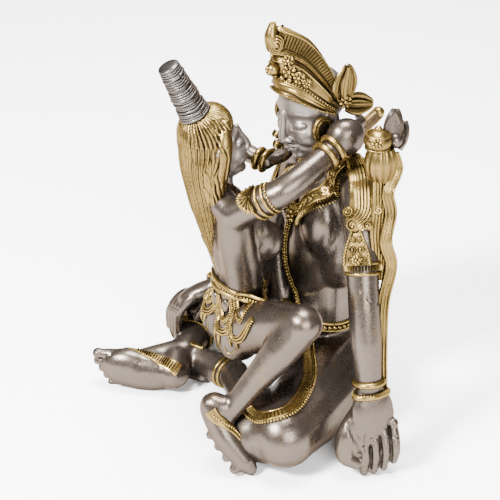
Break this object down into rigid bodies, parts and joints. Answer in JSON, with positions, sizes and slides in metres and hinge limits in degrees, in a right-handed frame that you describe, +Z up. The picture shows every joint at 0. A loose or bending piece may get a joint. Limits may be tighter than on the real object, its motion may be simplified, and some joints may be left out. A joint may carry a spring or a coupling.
{
  "type": "yab-yum statue",
  "caption": "Cast metal statue of a crowned deity seated cross-legged, holding a consort who sits in the lap with arms round the neck.",
  "frame": {"origin": "on the ground under the middle of the larger figure's seat", "axes": "+Z up; the larger figure faces -Y and has its left side at +X; the consort faces +Y"},
  "size_m": [0.169, 0.1381, 0.2068],
  "materials": {
    "silver": "old silvered metal, dark in the hollows, softly worn on the high parts",
    "gilt": "worn olive-gold gilding with brown patina in the carving"
  },
  "bodies": {
    "root": {"male_figure": "silver", "female_figure": "silver"}
  },
  "joints": []
}
